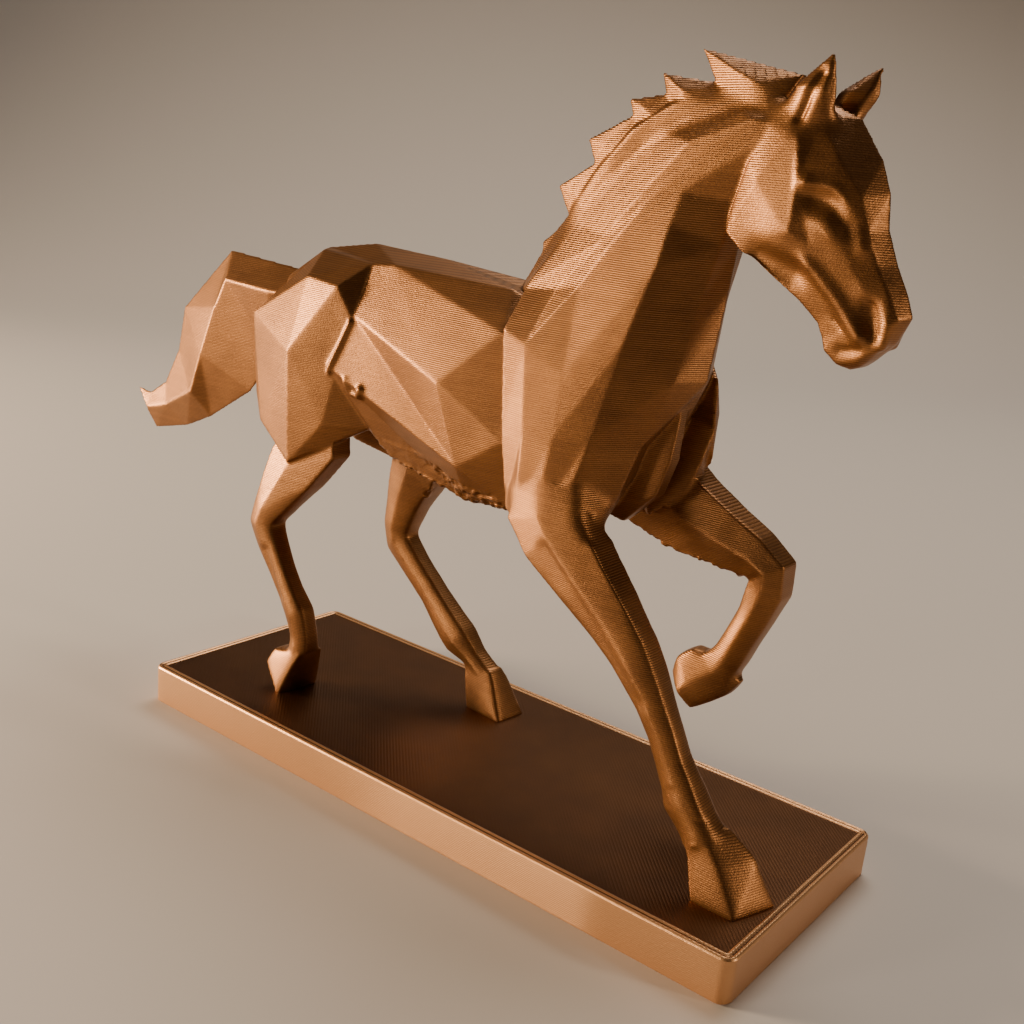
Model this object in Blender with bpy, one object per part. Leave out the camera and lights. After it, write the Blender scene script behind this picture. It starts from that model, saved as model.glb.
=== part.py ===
"""A striding horse on a rectangular plate, printed in one piece from silky copper-coloured plastic.

The plate has its own sizes. The horse is a free form, so its places are shares of its height:
hundredths, counted from the middle of the plate's top face. +X is the way the horse faces, +Z is
up, and "out" is the distance from the horse's middle plane towards the side that is being made.
"""

import math

import bmesh
import bpy
from mathutils import Vector

# Plate, in metres
PLATE_LENGTH = 0.0995
PLATE_WIDTH = 0.0374
PLATE_THICKNESS = 0.0056
PLATE_CORNER_RADIUS = 0.0015
PLATE_CORNER_STEPS = 5

# Horse, in metres: from its soles to the tip of its mane
HORSE_HEIGHT = 0.0916
SHARE = HORSE_HEIGHT / 100

# The right side of the horse is the near one
NEAR = -1
FAR = 1

# Silky plastic
COPPER = (0.46, 0.20, 0.075, 1.0)
COPPER_ROUGHNESS = 0.36
COPPER_METALLIC = 0.55

# Trunk, from the dock to inside the shoulders. Each ring runs down one side:
# ridge, edge of the back, upper flank, lower flank, edge of the belly, middle of the belly.
TRUNK = (
    ((-46, 0, 65.6), (-45, 2.6, 65), (-44, 7, 58), (-43, 7, 50), (-41, 4, 46.5), (-40, 0, 46)),
    ((-38.6, 0, 70.2), (-37.2, 2.5, 70), (-34, 9, 64), (-33, 9.5, 57), (-32, 6, 52.5), (-31, 0, 51.5)),
    ((-28.7, 0, 71.8), (-22.7, 6, 69.4), (-23.5, 9, 61.9),
     (-27, 10.3, 54), (-18.8, 5, 41.7), (-18, 0, 41)),
    ((-14, 0, 71.1), (-19, 6, 69.8), (-4.3, 12, 55.9), (-1.8, 9.5, 44.3), (-4.1, 4, 38.3), (-5, 0, 37)),
    ((1, 0, 68.6), (2.2, 5, 69), (3.8, 9, 63.7), (6, 10, 49.5), (5, 5, 39), (5, 0, 38)),
    ((12, 0, 66), (12, 4, 65), (14, 7, 60), (14, 8, 50), (13, 5, 41), (13, 0, 40)),
)

# Forehand, from the elbows up to the poll. Each ring runs from the back round to the throat:
# crest, groove beside the mane, ridge, side, corner of the breast, edge of the throat, its middle.
FOREHAND = (
    ((6, 0, 41), (7.4, 9.5, 40.8), (10, 11, 40), (14, 11.5, 41),
     (18.4, 11, 44.9), (21.4, 5.6, 42), (18, 0, 41.6)),
    ((5, 0, 52), (6.8, 11, 51), (11, 12, 52), (15.5, 12, 52),
     (20.6, 10.5, 53), (24.4, 4.6, 52), (23.6, 0, 52)),
    ((3, 0, 62), (4.8, 10, 64.3), (9, 10.6, 63), (15.5, 10.8, 60),
     (22.9, 9.2, 65.1), (28, 4.6, 61), (30, 0, 61)),
    ((-0.5, 0, 69), (4.6, 5.8, 69.6), (10.2, 6.5, 70.2), (14.3, 7.5, 71.1),
     (24.9, 7.3, 74.4), (29.4, 3.4, 71), (31, 0, 70)),
    ((3.2, 0, 75.4), (8.7, 2.4, 78.7), (16.2, 5.5, 77.3), (19, 6, 78.5),
     (25.4, 6, 79.7), (31, 3, 78), (31.7, 0, 77.9)),
    ((7.5, 0, 81), (13.1, 2.2, 83.8), (19.1, 5.2, 81.4), (22, 5.3, 82.5),
     (25.9, 5, 83.6), (32, 2.8, 83), (33, 0, 83)),
    ((13, 0, 89), (20.4, 2, 90.6), (25.7, 4.5, 89.2), (28, 4.6, 88.5),
     (30.5, 4.5, 86.9), (34, 3, 85.5), (35, 0, 85.5)),
    ((21, 0, 94), (29.1, 1.6, 94.3), (31.5, 3, 93.4), (33.5, 4, 92.3),
     (34.6, 4, 89.5), (37, 3, 88), (38, 0, 88)),
    ((31, 0, 95.6), (34, 1.4, 95.2), (36, 2.6, 94.4), (38.5, 3.4, 92.6),
     (39, 3.4, 90), (40, 2.4, 89), (41, 0, 89)),
)

# Head, from the poll to the lips. Each ring runs from the forehead round to the jaw:
# middle of the forehead, ridge of the face, temple or eye, cheek, edge of the jaw, its middle.
HEAD = (
    ((39.5, 0, 95), (38.4, 2.5, 94.8), (36, 3.9, 92),
     (33.6, 4.3, 87.5), (31.8, 3.7, 82), (31.6, 0, 81.8)),
    ((44.6, 0, 93.2), (41.2, 3.1, 93), (39.2, 4.7, 91.6),
     (35.4, 5.2, 85.6), (31.9, 4.1, 79.5), (31.6, 0, 79.6)),
    ((47.8, 0, 89), (44.2, 3.7, 88.8), (40.6, 5.5, 86),
     (40.3, 5.7, 80.2), (34.6, 4.4, 77.2), (34.4, 0, 77.4)),
    ((49.3, 0, 85.5), (47.4, 3.4, 84.9), (44, 5, 83.6),
     (43, 4.6, 78.6), (38.1, 3.6, 75), (38.1, 0, 75.2)),
    ((49.8, 0, 81.8), (48.7, 3, 81.2), (46.3, 4.3, 80),
     (45, 3.9, 76), (41.5, 2.6, 72.9), (41.5, 0, 73.1)),
    ((51.5, 0, 78), (50.3, 2.5, 77.5), (48.1, 3.4, 76.4),
     (46.6, 3.2, 73.4), (44, 2.1, 70.7), (44, 0, 70.9)),
    ((53.2, 0, 75), (52.1, 2.3, 74.6), (50.2, 3.1, 73.4),
     (48.3, 2.9, 71.2), (44.7, 1.8, 69), (44.7, 0, 69.1)),
    ((54.2, 0, 72.6), (53.3, 2.2, 72.2), (51.8, 2.9, 71),
     (49.4, 2.6, 69.2), (45.2, 1.7, 67.6), (45, 0, 67.6)),
    ((52.9, 0, 69.6), (52.4, 1.7, 69.4), (51.4, 2.2, 68.6),
     (49.6, 2.1, 67.2), (46.8, 1.5, 66.3), (46.6, 0, 66.3)),
    ((50.8, 0, 67.4), (50.6, 0.9, 67.3), (50.2, 1.2, 66.9),
     (49.4, 1.2, 66.3), (48.4, 0.9, 65.9), (48.2, 0, 65.9)),
)

# Tail, from the dock to its tip: outer edge, side ridge, inner edge
TAIL = (
    ((-44, 0, 66), (-43, 3, 62), (-42, 0, 56)),
    ((-51, 0, 66.4), (-49, 3.4, 62), (-46, 0, 55)),
    ((-62.3, 0, 67.1), (-60, 3.2, 62.5), (-51, 0, 51)),
    ((-74.8, 0, 55.8), (-62.5, 3.4, 57.5), (-54, 0, 47)),
    ((-76.4, 0, 48), (-66, 3.4, 49), (-56.5, 0, 44)),
    ((-80.1, 0, 41.6), (-69, 3, 42), (-66.9, 0, 37.6)),
    ((-84.4, 0, 38.9), (-77.9, 1.5, 37.9), (-73.6, 0, 34.6)),
    ((-88.4, 0, 39.2), (-84.4, 1.2, 36.2), (-82.9, 0, 32.2)),
)

# Locks of the mane: tip, top of the root, foot of the root, swelling of the side, and half the
# thickness inside the neck. The swelling has three places, the others two.
LOCKS = (
    ((23.5, 100.1), (37, 97.4), (27.4, 94.2), (32.2, 2.8, 96.3), 3.0),
    ((18.3, 97.2), (28, 96), (20, 93.2), (22.2, 1.7, 95.2), 2.4),
    ((13.9, 94), (21, 95), (15.6, 90.8), (17.4, 1.4, 92.6), 2.0),
    ((8.3, 88.9), (15.5, 92.4), (10.4, 85.2), (12.6, 1.5, 87.8), 2.0),
    ((4.3, 82.8), (10.5, 86.4), (7.2, 78.4), (8.4, 1.5, 81.6), 2.0),
    ((2.6, 75.4), (8, 79.6), (3, 71.6), (5, 1.5, 74.8), 2.0),
)
LOCK_TIP_HALF = 0.25
LOCK_TOP_HALF = 0.6
LOCK_FOOT_HALF = 0.8
LOCK_REACH_INWARD = 3.0

# Haunch: corners of the outer side, then the ones against the trunk
HAUNCH_OUTER = (
    (-47.4, 7.5, 59.2), (-43.2, 9, 42.6), (-34.8, 10.6, 37.8), (-28.2, 10, 44.9), (-29.3, 9.9, 52.8),
    (-24, 9.2, 61.9), (-26.3, 10, 65.9), (-33.6, 9, 66.5), (-33.8, 12.3, 55.4),
)
HAUNCH_INNER = (
    (-37.2, 2.5, 70), (-23.5, 6, 69.4), (-50, 4, 57.5),
    (-51.4, 3, 45), (-44, 3, 40), (-36.5, 5, 37.8),
    (-20.8, 5.5, 45.8), (-24.5, 6, 50.8), (-30, 2, 60),
)

# The far thigh is swung forwards: this much from its fold down to a horse's height lower
FAR_THIGH_SWING = 66
THIGH_FOLD = 55

# Breast: the far shoulder, carried forwards by the raised leg, the muscle below it and the middle one
FAR_SHOULDER = (
    (28.4, 7.5, 56), (28, 8, 48.7), (24.5, 9, 64.5), (22, 11, 52), (20, 10, 44), (29.4, 4, 61),
    (18, 8, 62), (15, 9, 48),
)
FAR_BREAST = (
    (28.7, 6.6, 55), (27.9, 5.5, 50.1), (26.6, 5, 45.6),
    (24.6, 4.6, 43.3), (22.2, 3, 41.2), (26.6, 8.4, 46),
    (22, 9, 46), (18, 6, 42), (18, 4, 55),
)
MIDDLE_BREAST = (
    (27.5, 0.9, 57.5), (26.9, 1.2, 50.2), (25.4, 1.2, 45.4), (20.7, 0.9, 40.7),
    (20, 2.8, 50), (18, 2.4, 42), (20, 3, 57),
)

# Legs, from the top down: x, out, z, depth from front to back, width
NEAR_HIND = (
    (-32.6, 6, 46, 12, 5.4), (-32.6, 6.2, 41.4, 15, 5.6),
    (-35.7, 7.4, 36.3, 12.8, 5.8), (-39.4, 8.7, 29.5, 8, 5.8),
    (-40.7, 9, 26.6, 7, 5.4), (-39, 9, 23.3, 6.2, 4.8),
    (-36.6, 9, 19.6, 5.5, 4.2), (-34.5, 9, 16.5, 5.3, 4.2),
    (-32.4, 8.8, 13.5, 5.8, 4.8), (-31.4, 8.5, 9.8, 5.2, 4.6), (-31.4, 8.4, 7, 5.4, 5),
)
FAR_HIND = (
    (-19.5, 6.5, 47, 16, 8), (-21.3, 6.8, 42.2, 14.8, 7.5),
    (-23, 7.2, 36.8, 12.2, 6.8), (-25.7, 8, 31.5, 9.6, 6),
    (-27.5, 8.4, 26, 7.2, 5.3), (-27.1, 8.5, 23.6, 7, 5),
    (-23.5, 8.7, 20, 6.2, 4.6), (-19.6, 8.9, 16.4, 6, 4.5),
    (-16.2, 9, 13, 6.9, 5), (-13.2, 9.1, 10.3, 7.4, 5.4),
    (-10.2, 9.3, 8.2, 4.6, 4.4), (-7.8, 9.5, 6.2, 5, 4.4),
)
NEAR_FORE = (
    (14.5, 8.5, 46, 14, 7), (14.9, 8.8, 42.2, 15.6, 7.5),
    (16.8, 9, 39.6, 14, 7.5), (22.1, 9.2, 34.6, 11.4, 7),
    (26.8, 9.4, 30.6, 9.4, 6.4), (30.1, 9.5, 27.4, 8.2, 6.2),
    (32.2, 9.5, 24.6, 7.2, 6), (34.2, 9.5, 21.6, 6, 5.2),
    (36.1, 9.5, 18.4, 5.6, 4.8), (37.6, 9.5, 15.4, 5.6, 4.8), (39.2, 9.5, 12.8, 6.2, 5.2),
    (40.2, 9.5, 10.8, 7, 5.8), (42.2, 9.6, 8.6, 6.2, 5.6), (43.6, 9.7, 6.8, 6.4, 6),
)
RAISED_FORE = (
    (16, 8, 47.5, 17, 7), (21, 8.1, 44.4, 16.8, 7),
    (26, 8.2, 41.8, 13.8, 7.2), (31.6, 8, 40.2, 10.4, 6.8),
    (36.4, 8, 38.6, 8.2, 6.2), (39, 8, 37.2, 7.2, 6),
    (39, 8, 34.4, 6.8, 5.8), (37.8, 8, 30.6, 6.2, 5.4),
    (36.3, 8, 27, 6, 5.4), (35.1, 8, 24, 6.2, 5.4), (33.6, 8, 21.8, 6.6, 5.2),
)

# Six corners of a leg's ring: shares of half its depth forwards and half its width outwards
LEG_RING = ((0.75, 0.66), (0.0, 1.0), (-0.78, 0.62), (-0.78, -0.62), (0.0, -1.0), (0.75, -0.66))

# Hooves: rings from the sole up, each with its outer heel, outer toe, inner toe and inner heel
SOLE_DEPTH = 1.0
NEAR_FORE_HOOF = (
    ((44, 13.3, -SOLE_DEPTH), (50.6, 13.3, -SOLE_DEPTH),
     (53, 6.2, -SOLE_DEPTH), (44.5, 5.4, -SOLE_DEPTH)),
    ((44, 13.3, 0.1), (50.6, 13.3, 0.1), (53, 6.2, 0.1), (44.5, 5.4, 0.1)),
    ((42.4, 12.4, 5), (47.2, 12.4, 5.2), (49.8, 7, 6), (43, 6.6, 5.4)),
    ((41.2, 11.6, 7), (44.4, 11.8, 8.4), (46.2, 7.8, 9), (41.6, 7.4, 8)),
)
FAR_HIND_HOOF = (
    ((-10, 13, -SOLE_DEPTH), (-2.2, 13, -SOLE_DEPTH), (-2.2, 6.6, -SOLE_DEPTH), (-10, 7, -SOLE_DEPTH)),
    ((-10, 13, 0.1), (-1.6, 12.8, 0.1), (-2.2, 6.6, 0.1), (-10, 7.2, 0.1)),
    ((-11.4, 12, 4.6), (-4.4, 11.8, 5.4), (-4.6, 7.4, 5.2), (-11, 7.4, 5.4)),
    ((-11.4, 11, 6.6), (-5.6, 11, 7.6), (-5.8, 7.8, 7.4), (-11, 7.6, 7)),
)
NEAR_HIND_HOOF = (
    ((-34.2, 12, -SOLE_DEPTH), (-32.6, 12, -SOLE_DEPTH),
     (-31.8, 4.6, -SOLE_DEPTH), (-33.6, 4.6, -SOLE_DEPTH)),
    ((-34.2, 12.3, 0.1), (-32.6, 12.3, 0.1), (-31.8, 4.4, 0.1), (-33.6, 4.4, 0.1)),
    ((-38, 11, 3.6), (-31.2, 11.4, 4.4), (-30.4, 5.2, 4.4), (-37.4, 5.6, 3.8)),
    ((-36.6, 10.4, 6.4), (-29.8, 10.8, 7.2), (-29.4, 5.8, 7.4), (-36, 6.2, 6.6)),
)

# Raised hoof, from the fetlock to the sole: heel's x and z, toe's x and z, inner and outer reach
RAISED_HOOF = (
    (31.6, 23.4, 37.4, 20.8, 5.8, 10.2), (29.6, 23.6, 35.8, 18.4, 5.2, 10.8),
    (27.4, 21.8, 33.2, 16.4, 4.8, 11.2),
    (26.8, 19, 30.4, 14.4, 5.2, 10.8),
)
RAISED_HOOF_ROUNDING = 1.3

# Ears: middle of the root, middle halfway up and tip, with the root's half depth and half width
NEAR_EAR = ((40.1, 2.7, 92.6), (40, 3, 96), (41.9, 3.5, 99.8))
FAR_EAR = ((41.4, 2.3, 92.8), (42.6, 2.9, 96), (44.9, 3.5, 99.3))
EAR_DEPTH = 2.7
EAR_WIDTH = 1.8
EAR_SIDES = 7
EAR_WAIST = 0.9

# Forms of the face: centre, half sizes along, outwards and across, and the slope in degrees
EYE_SOCKET = ((45, 5.4, 82.8), (3.8, 1.5, 2.3), -44)
EYE = ((44.7, 4, 81.8), (3.1, 1.1, 1.6), -44)
NOSTRIL = ((50.7, 3.3, 71.6), (2.7, 1.3, 0.9), -74)
MOUTH = ((46.6, 3.4, 71), (2.9, 1.2, 0.4), -41)


def clear_scene():
    """Remove every object that the file holds."""
    for item in list(bpy.data.objects):
        bpy.data.objects.remove(item, do_unlink=True)


def make_material():
    """Silky copper-coloured plastic."""
    material = bpy.data.materials.new("silky_copper_plastic")
    material.use_nodes = True
    shader = material.node_tree.nodes["Principled BSDF"]
    shader.inputs["Base Color"].default_value = COPPER
    shader.inputs["Roughness"].default_value = COPPER_ROUGHNESS
    shader.inputs["Metallic"].default_value = COPPER_METALLIC
    return material


def place(corner, side=1):
    """The point in metres of a corner in shares, on the given side of the horse."""
    x, out, z = corner
    return Vector((x * SHARE, side * out * SHARE, PLATE_THICKNESS + z * SHARE))


def on_both_sides(corners):
    """The points of the corners on the near side and on the far side."""
    return [place(corner, side) for corner in corners for side in (NEAR, FAR)]


def add_solid(name, points, faces, material):
    """One closed mesh object, with its faces turned outwards."""
    mesh = bpy.data.meshes.new(name)
    shape = bmesh.new()
    corners = [shape.verts.new(point) for point in points]
    for face in faces:
        shape.faces.new([corners[index] for index in face])
    bmesh.ops.triangulate(shape, faces=[face for face in shape.faces if len(face.verts) > 3])
    bmesh.ops.recalc_face_normals(shape, faces=shape.faces)
    shape.to_mesh(mesh)
    shape.free()
    mesh.materials.append(material)
    item = bpy.data.objects.new(name, mesh)
    bpy.context.scene.collection.objects.link(item)
    return item


def loft(name, rings, material):
    """Closed skin over rings of as many points each."""
    count = len(rings[0])
    points = [point for ring in rings for point in ring]
    faces = []
    for level in range(len(rings) - 1):
        here, above = level * count, (level + 1) * count
        for index in range(count):
            after = (index + 1) % count
            low, low_after = here + index, here + after
            high, high_after = above + index, above + after
            faces += [(low, low_after, high_after), (low, high_after, high)]
    faces.append(tuple(range(count - 1, -1, -1)))
    faces.append(tuple(range(len(points) - count, len(points))))
    return add_solid(name, points, faces, material)


def both_sides(half_ring):
    """A whole ring of points from a half ring that starts and ends on the middle plane."""
    near = [place(corner, NEAR) for corner in half_ring]
    far = [place(corner, FAR) for corner in half_ring[-2:0:-1]]
    return near + far


def middle_form(name, half_rings, material):
    """A form that is the same on both sides. Its faces split the same way on both sides too."""
    rings = [both_sides(half_ring) for half_ring in half_rings]
    half = len(half_rings[0]) - 1
    count = len(rings[0])
    points = [point for ring in rings for point in ring]
    faces = []
    for level in range(len(rings) - 1):
        here, above = level * count, (level + 1) * count
        for index in range(count):
            after = (index + 1) % count
            low, low_after = here + index, here + after
            high, high_after = above + index, above + after
            if index < half:
                faces += [(low, low_after, high_after), (low, high_after, high)]
            else:
                faces += [(low, low_after, high), (low_after, high_after, high)]
    faces.append(tuple(range(count - 1, -1, -1)))
    faces.append(tuple(range(len(points) - count, len(points))))
    return add_solid(name, points, faces, material)


def hull(name, points, material):
    """The smallest solid without hollows that holds the points."""
    shape = bmesh.new()
    for point in points:
        shape.verts.new(point)
    result = bmesh.ops.convex_hull(shape, input=shape.verts)
    inside = [item for item in result["geom_interior"] if isinstance(item, bmesh.types.BMVert)]
    bmesh.ops.delete(shape, geom=inside, context="VERTS")
    bmesh.ops.recalc_face_normals(shape, faces=shape.faces)
    mesh = bpy.data.meshes.new(name)
    shape.to_mesh(mesh)
    shape.free()
    mesh.materials.append(material)
    item = bpy.data.objects.new(name, mesh)
    bpy.context.scene.collection.objects.link(item)
    return item


def leg(name, stations, side, material):
    """A leg: six-cornered rings, each square to the line through the rings beside it."""
    rings = []
    last = len(stations) - 1
    for number, (x, out, z, depth, width) in enumerate(stations):
        before = stations[max(number - 1, 0)]
        after = stations[min(number + 1, last)]
        run, rise = after[0] - before[0], after[2] - before[2]
        length = math.hypot(run, rise)
        forward = (-rise / length, run / length)
        ring = []
        for fore, outward in LEG_RING:
            reach = fore * depth / 2
            corner = (x + reach * forward[0], out + outward * width / 2, z + reach * forward[1])
            ring.append(place(corner, side))
        rings.append(ring)
    return loft(name, rings, material)


def hoof(name, rings, side, material):
    """A standing hoof from its four-cornered rings."""
    return loft(name, [[place(corner, side) for corner in ring] for ring in rings], material)


def raised_hoof(name, stations, side, material):
    """The lifted hoof, its six-cornered rings narrower at the heel and the toe."""
    rings = []
    for heel_x, heel_z, toe_x, toe_z, inner, outer in stations:
        middle_x, middle_z = (heel_x + toe_x) / 2, (heel_z + toe_z) / 2
        low, high = inner + RAISED_HOOF_ROUNDING, outer - RAISED_HOOF_ROUNDING
        corners = (
            (heel_x, high, heel_z), (middle_x, outer, middle_z), (toe_x, high, toe_z),
            (toe_x, low, toe_z), (middle_x, inner, middle_z), (heel_x, low, heel_z),
        )
        rings.append([place(corner, side) for corner in corners])
    return loft(name, rings, material)


def haunch(name, side, swing, material):
    """The thigh's faceted outside. Swing carries what is below its fold forwards."""
    points = []
    for x, out, z in HAUNCH_OUTER + HAUNCH_INNER:
        carried = swing * max(0.0, THIGH_FOLD - z) / 100
        points.append(place((x + carried, out, z), side))
    return hull(name, points, material)


def lock(name, tip, top, foot, swelling, half_root, material):
    """One lock of the mane: a sharp wedge from its root on the crest to its tip."""
    inward = ((top[0] + foot[0]) / 2 + LOCK_REACH_INWARD, (top[1] + foot[1]) / 2 - LOCK_REACH_INWARD)
    corners = [
        (tip[0], LOCK_TIP_HALF, tip[1]),
        (top[0], LOCK_TOP_HALF, top[1]),
        (foot[0], LOCK_FOOT_HALF, foot[1]),
        swelling,
        (inward[0], half_root, inward[1]),
    ]
    return hull(name, on_both_sides(corners), material)


def ear(name, root, middle, tip, side, material):
    """A pointed ear, fattest at its root."""
    points = [place(tip, side)]
    for centre, size in ((root, 1.0), (middle, EAR_WAIST)):
        for turn in range(EAR_SIDES):
            angle = 2 * math.pi * turn / EAR_SIDES
            fore = size * EAR_DEPTH * math.cos(angle)
            outward = size * EAR_WIDTH * math.sin(angle)
            points.append(place((centre[0] + fore, centre[1] + outward, centre[2]), side))
    return hull(name, points, material)


def pebble(name, form, side, material):
    """An egg-shaped form of the face, its long axis sloping as asked."""
    centre, half_sizes, slope_degrees = form
    slope = math.radians(slope_degrees)
    shape = bmesh.new()
    bmesh.ops.create_icosphere(shape, subdivisions=2, radius=1)
    points = []
    for corner in shape.verts:
        along, outward, across = (corner.co[axis] * half_sizes[axis] for axis in range(3))
        x = centre[0] + along * math.cos(slope) - across * math.sin(slope)
        z = centre[2] + along * math.sin(slope) + across * math.cos(slope)
        points.append(place((x, centre[1] + outward, z), side))
    shape.free()
    return hull(name, points, material)


def plate(material):
    """The rectangular plate with rounded upright corners, its underside at z = 0."""
    outline = []
    reach_x = PLATE_LENGTH / 2 - PLATE_CORNER_RADIUS
    reach_y = PLATE_WIDTH / 2 - PLATE_CORNER_RADIUS
    for quarter, (way_x, way_y) in enumerate(((1, 1), (-1, 1), (-1, -1), (1, -1))):
        for step in range(PLATE_CORNER_STEPS + 1):
            angle = math.radians(90 * (quarter + step / PLATE_CORNER_STEPS))
            x = way_x * reach_x + PLATE_CORNER_RADIUS * math.cos(angle)
            y = way_y * reach_y + PLATE_CORNER_RADIUS * math.sin(angle)
            outline.append((x, y))
    rings = [[Vector((x, y, z)) for x, y in outline] for z in (0.0, PLATE_THICKNESS)]
    return loft("horse_on_plate", rings, material)


def horse_pieces(material):
    """Every form of the horse, each a closed solid that overlaps its neighbours."""
    pieces = [
        middle_form("trunk", TRUNK, material),
        middle_form("forehand", FOREHAND, material),
        middle_form("head", HEAD, material),
        middle_form("tail", TAIL, material),
        hull("far_shoulder", [place(corner, FAR) for corner in FAR_SHOULDER], material),
        hull("far_breast", [place(corner, FAR) for corner in FAR_BREAST], material),
        hull("middle_breast", on_both_sides(MIDDLE_BREAST), material),
        haunch("near_haunch", NEAR, 0, material),
        haunch("far_haunch", FAR, FAR_THIGH_SWING, material),
        leg("near_hind_leg", NEAR_HIND, NEAR, material),
        leg("far_hind_leg", FAR_HIND, FAR, material),
        leg("near_foreleg", NEAR_FORE, NEAR, material),
        leg("raised_foreleg", RAISED_FORE, FAR, material),
        hoof("near_fore_hoof", NEAR_FORE_HOOF, NEAR, material),
        hoof("far_hind_hoof", FAR_HIND_HOOF, FAR, material),
        hoof("near_hind_hoof", NEAR_HIND_HOOF, NEAR, material),
        raised_hoof("raised_hoof", RAISED_HOOF, FAR, material),
        ear("near_ear", *NEAR_EAR, NEAR, material),
        ear("far_ear", *FAR_EAR, FAR, material),
    ]
    for number, shape in enumerate(LOCKS, start=1):
        pieces.append(lock(f"mane_lock_{number}", *shape, material))
    return pieces


def combine(body, name, operation, pieces):
    """Join the pieces to the body, or cut them from it, and leave them as guides."""
    group = bpy.data.collections.new(name)
    bpy.context.scene.collection.children.link(group)
    for piece in pieces:
        bpy.context.scene.collection.objects.unlink(piece)
        group.objects.link(piece)
        piece.hide_render = True
        piece.display_type = "WIRE"
    step = body.modifiers.new(name, "BOOLEAN")
    step.operation = operation
    step.operand_type = "COLLECTION"
    step.collection = group
    step.solver = "EXACT"


def face_forms(names_and_forms, material):
    """The same forms on both sides of the face."""
    pieces = []
    for name, form in names_and_forms:
        pieces.append(pebble(f"near_{name}", form, NEAR, material))
        pieces.append(pebble(f"far_{name}", form, FAR, material))
    return pieces


def main():
    """Build the horse on its plate."""
    clear_scene()
    material = make_material()
    body = plate(material)
    combine(body, "forms", "UNION", horse_pieces(material))
    hollows = (("eye_socket", EYE_SOCKET), ("nostril", NOSTRIL), ("mouth", MOUTH))
    combine(body, "hollows", "DIFFERENCE", face_forms(hollows, material))
    combine(body, "eyes", "UNION", face_forms((("eye", EYE),), material))


main()
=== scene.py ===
"""Looks of a faceted horse striding over its plate, printed in silky copper-coloured plastic.

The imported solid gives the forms. Here they get what the printer leaves on them: rounded ridges,
layers, steps on the shallow slopes, the marks of removed supports, and the creases of the face.
"""

from __future__ import annotations

import logging
import math
from dataclasses import dataclass
from enum import Enum
from typing import Any

import bmesh
import bpy
import numpy as np
from mathutils import Matrix, Vector

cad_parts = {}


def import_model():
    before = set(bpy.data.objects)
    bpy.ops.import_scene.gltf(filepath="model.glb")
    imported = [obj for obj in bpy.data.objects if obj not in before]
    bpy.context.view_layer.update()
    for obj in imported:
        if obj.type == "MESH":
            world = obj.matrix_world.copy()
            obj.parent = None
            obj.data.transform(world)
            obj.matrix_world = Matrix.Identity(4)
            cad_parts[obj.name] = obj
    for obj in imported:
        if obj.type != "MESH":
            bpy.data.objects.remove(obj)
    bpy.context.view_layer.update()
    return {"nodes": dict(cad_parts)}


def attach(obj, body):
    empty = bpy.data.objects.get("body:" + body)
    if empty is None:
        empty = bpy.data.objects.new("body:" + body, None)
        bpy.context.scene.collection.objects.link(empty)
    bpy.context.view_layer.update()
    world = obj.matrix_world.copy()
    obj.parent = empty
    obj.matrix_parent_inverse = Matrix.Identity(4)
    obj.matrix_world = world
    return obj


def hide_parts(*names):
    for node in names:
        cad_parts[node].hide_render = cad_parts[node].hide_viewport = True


LOG = logging.getLogger("horse")
NODE = "horse_on_plate"

# Metres in a hundredth of the horse's height, the unit of all places on the horse
SHARE = 0.000916
PLATE_TOP = 0.0056
# Half the plate's length and width, in metres
PLATE_HALF = (0.04975, 0.0187)
# Printed layer, width of one printed line and of one line round the plate's edge, in metres
LAYER = 0.00024
LINE = 0.00042
RIM_LINE = 0.0007
RIM_LINES = 2

Points = np.ndarray
Path = tuple[tuple[float, float, float], ...]
Tree = bpy.types.NodeTree
Socket = bpy.types.NodeSocket


def linear(code: str) -> tuple[float, float, float, float]:
    """Turn an sRGB hex colour into linear red, green, blue and alpha.

    Args:
        code: six hex digits, with or without a leading hash.

    Returns:
        The linear colour with alpha 1.
    """
    digits = code.lstrip("#")
    parts = [int(digits[index : index + 2], 16) / 255 for index in (0, 2, 4)]
    red, green, blue = (p / 12.92 if p <= 0.04045 else ((p + 0.055) / 1.055) ** 2.4 for p in parts)
    return red, green, blue, 1.0


def add_node(tree: Tree, kind: str, settings: dict[str, Any], inputs: dict[Any, Any]) -> bpy.types.Node:
    """Add one node with its settings and what feeds it.

    Args:
        tree: the material's node tree.
        kind: the node's type name.
        settings: the node's own properties by name.
        inputs: a value, or another node's output, for inputs by name or number.

    Returns:
        The new node.
    """
    node = tree.nodes.new(kind)
    for name, value in settings.items():
        setattr(node, name, value)
    for key, value in inputs.items():
        if isinstance(value, Socket):
            tree.links.new(value, node.inputs[key])
        else:
            node.inputs[key].default_value = value
    return node


def reckon(tree: Tree, operation: str, *values: Socket | float) -> Socket:
    """Add one node of arithmetic.

    Args:
        tree: the material's node tree.
        operation: name of the sum.
        values: what goes into it, in order.

    Returns:
        The result.
    """
    return add_node(tree, "ShaderNodeMath", {"operation": operation}, dict(enumerate(values))).outputs[0]


def blend(tree: Tree, share: Socket | float, first: Any, second: Any) -> Socket:
    """Add one node that mixes two colours.

    Args:
        tree: the material's node tree.
        share: how much of the second colour there is.
        first: a colour or its socket.
        second: a colour or its socket.

    Returns:
        The mixed colour.
    """
    inputs = {0: share, 6: first, 7: second}
    return add_node(tree, "ShaderNodeMix", {"data_type": "RGBA"}, inputs).outputs[2]


def spot(x: float, out: float, z: float, side: int) -> np.ndarray:
    """The point in metres of a place in shares, on the given side."""
    return np.array([x * SHARE, side * out * SHARE, PLATE_TOP + z * SHARE])


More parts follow.
